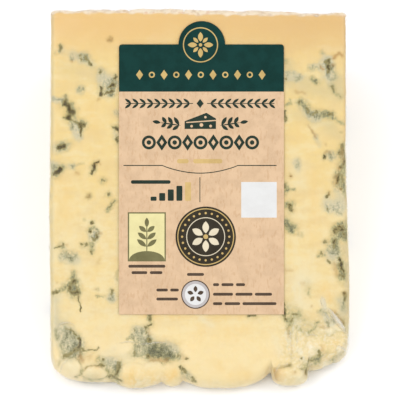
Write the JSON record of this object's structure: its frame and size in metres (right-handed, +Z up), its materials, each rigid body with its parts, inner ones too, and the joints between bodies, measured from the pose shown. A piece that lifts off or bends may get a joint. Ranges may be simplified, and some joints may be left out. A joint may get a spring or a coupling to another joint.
{
  "type": "vacuum-packed blue cheese wedge",
  "caption": "Wedge of blue-veined cheese, rind at its thick end and a broken crumbly thin end, sealed in tight clear film with a paper label on its upper cut face.",
  "frame": {"origin": "centre of the bounding box's bottom, on the surface the wedge rests on", "axes": "+Y along the base from the thin broken end to the rind, +X across the wedge along the whole cheese's own axis, +Z up; the shown cut face slopes up towards +Y at 27.5 degrees"},
  "size_m": [0.0776, 0.0984, 0.0482],
  "materials": {
    "cheese_in_film": "cream to yellow blue-veined paste seen through tight clear film, glossy",
    "label_paper": null
  },
  "bodies": {
    "root": {"film_pack": "cheese_in_film", "label": "label_paper"}
  },
  "joints": []
}
